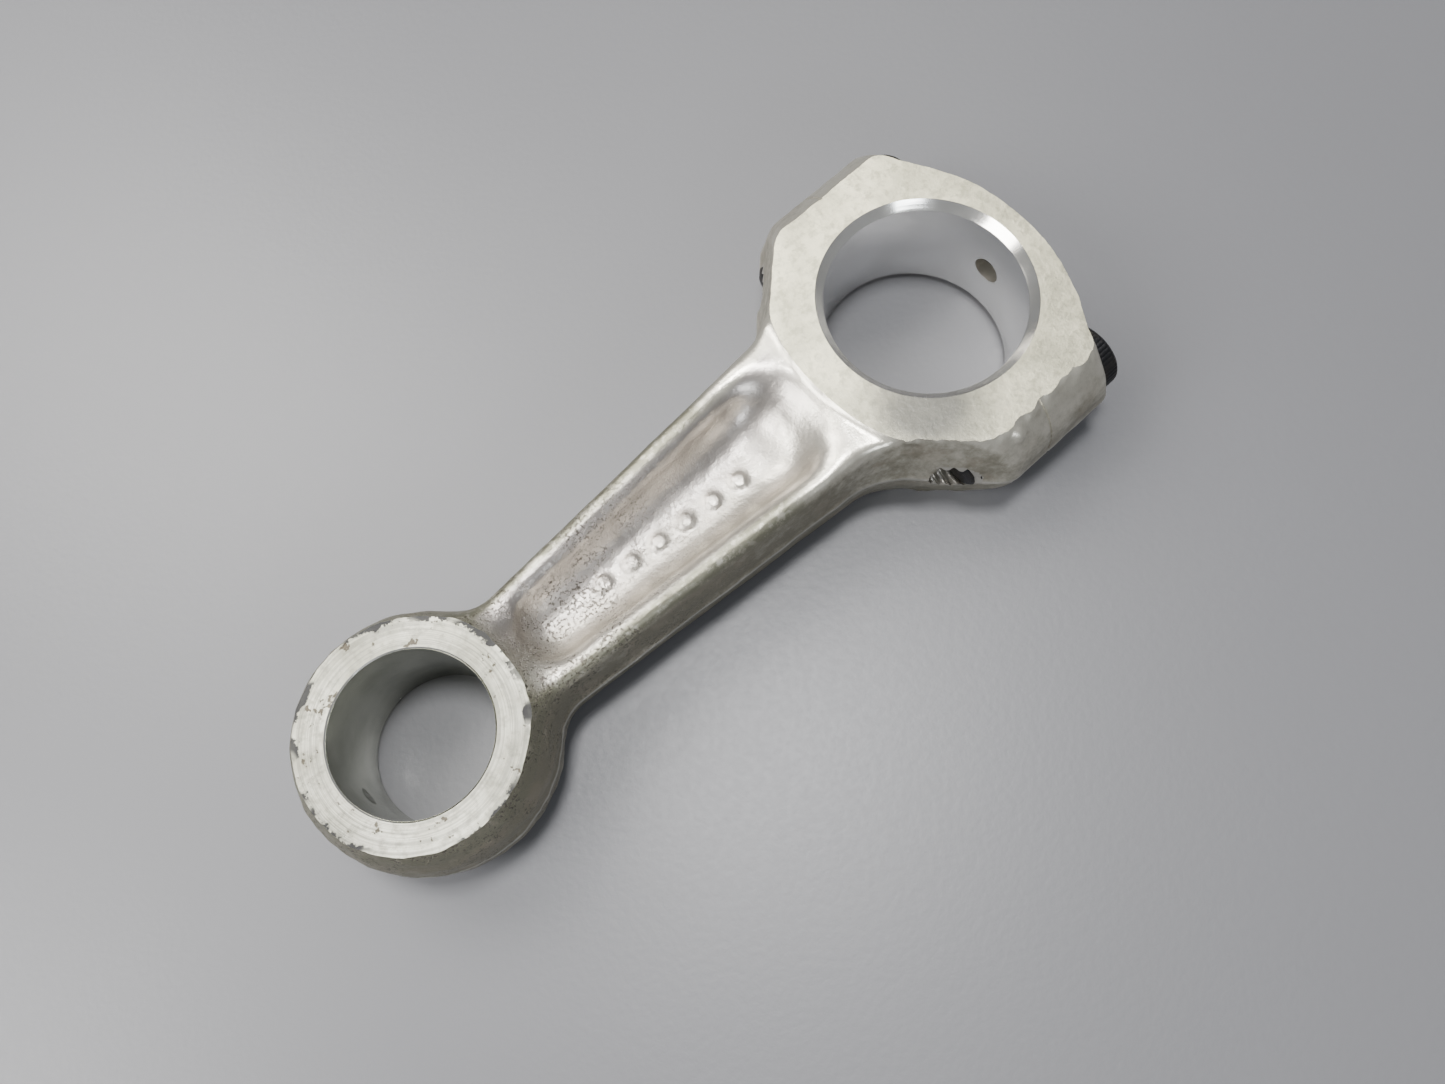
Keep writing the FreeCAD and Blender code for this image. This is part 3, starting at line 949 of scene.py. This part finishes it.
def lathe_marks(s, cosine, sine, along, per_metre, sweep=0.7):
    """Streaks that run round the bore, at this many to the metre along or across it."""
    lay = s.combine(s.math("MULTIPLY", cosine, sweep), s.math("MULTIPLY", sine, sweep),
                    s.math("MULTIPLY", along, per_metre))
    return s.noise(1.0, 3.0, 0.6, lay)


def faced_aluminium():
    """The big end's side faces: pale and creamy, smoothly faced, with faint stains and a round patch of
    painted shade.
    """
    s = Shader("big_end_face")
    clouds = s.noise(95, 5.0, 0.6)
    fine = s.noise(700, 5.0, 0.65)
    smears = s.noise(45, 4.0, 0.6, distortion=1.2)
    face = s.mix(s.step(clouds, 0.35, 0.7), PALE_FACE, DULL_FACE)
    face = s.mix(s.math("MULTIPLY", s.step(fine, 0.44, 0.66), 0.6), face, SPOTTED_FACE)
    face = s.mix(s.math("MULTIPLY", s.step(smears, 0.52, 0.7), 0.35), face, SMEARED_FACE)
    # Painted shade: a dark round patch painted on the face, standing in for a dim reflection.
    away = s.node("ShaderNodeVectorMath", "Value", {"operation": "DISTANCE"}, {
        0: s.place, 1: FACE_SHADE_CENTRE})
    away = s.math("ADD", away, s.math("MULTIPLY", smears, 0.008))
    face = s.mix(s.math("MULTIPLY", s.step(away, *FACE_SHADE_REACH), 0.95), face, FACE_SHADE_PATCH)
    rough = s.scaled(s.math("ADD", s.math("MULTIPLY", smears, 0.6),
                            s.math("MULTIPLY", fine, 0.4)), 0.24, 0.46)
    height = s.math("ADD", fine, s.math("MULTIPLY", clouds, 2.0))
    return s.finish(Base_Color=face, Metallic=0.95, Roughness=rough,
                    Normal=s.bump(height, 0.00005))


def turned_ring():
    """The eye's side faces: bright circular tool marks, dark pits and a worn outer rim."""
    s = Shader("turned_ring")
    radius, cosine, sine, _ = round_the_bore(s, CENTRES * MM)
    rings = lathe_marks(s, cosine, sine, radius, 3400.0)
    clouds = s.noise(95, 5.0, 0.6)
    fine = s.noise(800, 5.0, 0.65)
    face = s.mix(s.step(clouds, 0.35, 0.7), PALE_RING, DULL_RING)
    face = s.mix(s.math("MULTIPLY", s.step(fine, 0.44, 0.68), 0.6), face, SPOTTED_RING)
    face = s.mix(s.math("MULTIPLY", s.step(rings, 0.42, 0.62), 0.5), face, GROOVED_RING)
    rim = s.math("ADD", radius, s.math("MULTIPLY", s.noise(280, 6.0, 0.7), 0.0070))
    worn = s.math("MULTIPLY", s.step(rim, *WORN_RIM_RADIUS), s.step(s.noise(75, 3.0), 0.47, 0.53))
    face = s.mix(s.math("MULTIPLY", worn, 0.92), face, WORN_RING)
    pits = s.step(s.noise(420, 4.0, 0.65), 0.63, 0.66)
    face = s.mix(s.math("MULTIPLY", pits, 0.85), face, RING_PIT)
    rough = s.scaled(s.math("ADD", s.math("MULTIPLY", clouds, 0.6),
                            s.math("MULTIPLY", fine, 0.4)), 0.36, 0.54)
    rough = s.math("ADD", rough, s.math("MULTIPLY", worn, 0.15))
    height = s.math("ADD", s.math("MULTIPLY", rings, 1.2), s.math("MULTIPLY", fine, 0.4))
    height = s.math("SUBTRACT", height, s.math("MULTIPLY", s.math("ADD", pits, worn), 0.6))
    return s.finish(Base_Color=face, Metallic=0.95, Roughness=rough, Anisotropic=0.7,
                    Tangent=s.combine(s.math("MULTIPLY", sine, -1.0), cosine, 0.0),
                    Normal=s.bump(height, 0.00004))


def bored_aluminium(name, centre, pale, dark):
    """Bore walls: satin, with fine marks round the bore."""
    s = Shader(name)
    _, cosine, sine, z = round_the_bore(s, centre)
    marks = lathe_marks(s, cosine, sine, z, 1500.0, 0.4)
    clouds = s.noise(150, 4.0)
    wall = s.mix(s.step(clouds, 0.3, 0.75), pale, dark)
    wall = s.mix(s.math("MULTIPLY", marks, 0.3), wall, dark)
    return s.finish(Base_Color=wall, Metallic=0.97, Roughness=s.scaled(clouds, 0.17, 0.3),
                    Normal=s.bump(marks, 0.00001))


def polished_chamfer():
    """The bright cut chamfer at the rims of the bores."""
    s = Shader("chamfer")
    radius, cosine, sine, _ = round_the_bore(s, 0.0)
    marks = lathe_marks(s, cosine, sine, radius, 2600.0, 1.5)
    tint = s.mix(s.noise(260, 3.0), PALE_CHAMFER, DULL_CHAMFER)
    rough = s.scaled(s.noise(400, 3.0), 0.08, 0.22)
    return s.finish(Base_Color=tint, Metallic=1.0, Roughness=rough,
                    Normal=s.bump(marks, 0.00001))


def milled_aluminium():
    """The split faces: milled straight across."""
    s = Shader("milled_face")
    x, y, z = s.split(s.place)
    lay = s.combine(x, s.math("MULTIPLY", y, 60.0), s.math("MULTIPLY", z, 3200.0))
    marks = s.noise(1.0, 3.0, 0.6, lay)
    clouds = s.noise(180, 4.0)
    face = s.mix(clouds, PALE_MILLED, DULL_MILLED)
    return s.finish(Base_Color=face, Metallic=0.95, Roughness=s.scaled(clouds, 0.24, 0.4),
                    Normal=s.bump(marks, 0.00005))


def drilled_aluminium():
    """Drilled, counterbored and tapped surfaces, dull with old oil."""
    s = Shader("drilled_hole")
    clouds = s.noise(300, 4.0)
    fine = s.noise(1800, 3.0)
    tint = s.mix(clouds, PALE_DRILLED, DULL_DRILLED)
    return s.finish(Base_Color=tint, Metallic=0.9, Roughness=s.scaled(fine, 0.3, 0.5),
                    Normal=s.bump(fine, 0.00006))


def black_oxide():
    """Black oxide steel, a little brown and greasy, with bare metal at the worn edges."""
    s = Shader("black_oxide")
    clouds = s.noise(240, 5.0, 0.6)
    fine = s.noise(2200, 4.0, 0.6)
    tint = s.mix(s.step(clouds, 0.4, 0.7), BLACK_STEEL, BROWN_STEEL)
    scuffs = s.step(s.math("ADD", s.math("MULTIPLY", fine, 0.5), clouds), 0.86, 1.0)
    tint = s.mix(s.math("MULTIPLY", scuffs, 0.35), tint, BARE_STEEL)
    return s.finish(Base_Color=tint, Metallic=0.85, Roughness=s.scaled(clouds, 0.3, 0.55),
                    Normal=s.bump(fine, 0.00006))


# ---------------------------------------------------------------- floor, light and camera

def studio_floor():
    """A plain pale painted floor."""
    s = Shader("studio_floor")
    clouds = s.noise(6, 4.0)
    fine = s.noise(900, 3.0)
    tint = s.mix(clouds, PALE_FLOOR, DULL_FLOOR)
    material = s.finish(Base_Color=tint, Roughness=s.scaled(fine, 0.36, 0.46),
                        Normal=s.bump(fine, 0.00003))
    size = FLOOR_HALF_SIZE
    level = CAD_BOX[0].z
    corners = [(-size, -size, level), (size, -size, level), (size, size, level),
               (-size, size, level)]
    floor = mesh_object("studio_floor", corners, [(0, 1, 2, 3)])
    floor.data.materials.append(material)


def area_light(name, place, size, energy, tint):
    """A rectangular lamp that points at the middle of the part."""
    data = bpy.data.lights.new(name, "AREA")
    data.shape = "RECTANGLE"
    data.size, data.size_y = size
    data.energy = energy
    data.color = tint
    lamp = bpy.data.objects.new(name, data)
    lamp.location = place
    lamp.rotation_mode = "QUATERNION"
    lamp.rotation_quaternion = (Vector(LAMP_TARGET) - Vector(place)).to_track_quat("-Z", "Y")
    bpy.context.scene.collection.objects.link(lamp)


def studio_light():
    """A soft room, bright overhead and dim towards the horizon, and the lamps."""
    world = bpy.data.worlds.new("studio")
    world.use_nodes = True
    nodes, links = world.node_tree.nodes, world.node_tree.links
    background = nodes["Background"]
    background.inputs["Color"].default_value = WORLD_TINT
    direction = nodes.new("ShaderNodeTexCoord")
    parts = nodes.new("ShaderNodeSeparateXYZ")
    fade = nodes.new("ShaderNodeMapRange")
    fade.inputs["From Min"].default_value = WORLD_HEIGHTS[0]
    fade.inputs["From Max"].default_value = WORLD_HEIGHTS[1]
    fade.inputs["To Min"].default_value = WORLD_STRENGTHS[0]
    fade.inputs["To Max"].default_value = WORLD_STRENGTHS[1]
    links.new(direction.outputs["Generated"], parts.inputs[0])
    links.new(parts.outputs["Z"], fade.inputs["Value"])
    links.new(fade.outputs[0], background.inputs["Strength"])
    bpy.context.scene.world = world
    for lamp in LAMPS:
        area_light(*lamp)


def photo_camera():
    """The camera solved from the rims of the two bores."""
    level = math.cos(CAMERA_PITCH)
    forward = Vector((level * math.cos(CAMERA_YAW), level * math.sin(CAMERA_YAW),
                      -math.sin(CAMERA_PITCH)))
    right = Vector((math.sin(CAMERA_YAW), -math.cos(CAMERA_YAW), 0))
    up = right.cross(forward)
    camera_right = right * math.cos(CAMERA_ROLL) + up * math.sin(CAMERA_ROLL)
    camera_up = up * math.cos(CAMERA_ROLL) - right * math.sin(CAMERA_ROLL)
    data = bpy.data.cameras.new("photo_camera")
    data.sensor_width = SENSOR_WIDTH
    data.lens = CAMERA_LENS
    data.clip_start = CAMERA_CLIP[0]
    data.clip_end = CAMERA_CLIP[1]
    camera = bpy.data.objects.new("photo_camera", data)
    turn = Matrix((camera_right, camera_up, -forward)).transposed()
    camera.matrix_world = Matrix.Translation(CAMERA_PLACE) @ turn.to_4x4()
    bpy.context.scene.collection.objects.link(camera)
    bpy.context.scene.camera = camera


# In the order of the slots CAST to WRISTPIN_BORED
casting_finishes = [
    cast_aluminium(),
    faced_aluminium(),
    turned_ring(),
    bored_aluminium("crankpin_bore", 0.0, PALE_CRANKPIN_BORE, DULL_CRANKPIN_BORE),
    polished_chamfer(),
    milled_aluminium(),
    drilled_aluminium(),
    bored_aluminium("wristpin_bore", CENTRES * MM, PALE_WRISTPIN_BORE, DULL_WRISTPIN_BORE),
]
rod_and_cap(casting_finishes)
screw_finish = black_oxide()
cap_screw(-1, "socket_screw_left", "screw_left", "cap_screw_left", screw_finish)
cap_screw(1, "socket_screw_right", "screw_right", "cap_screw_right", screw_finish)
studio_floor()
studio_light()
photo_camera()
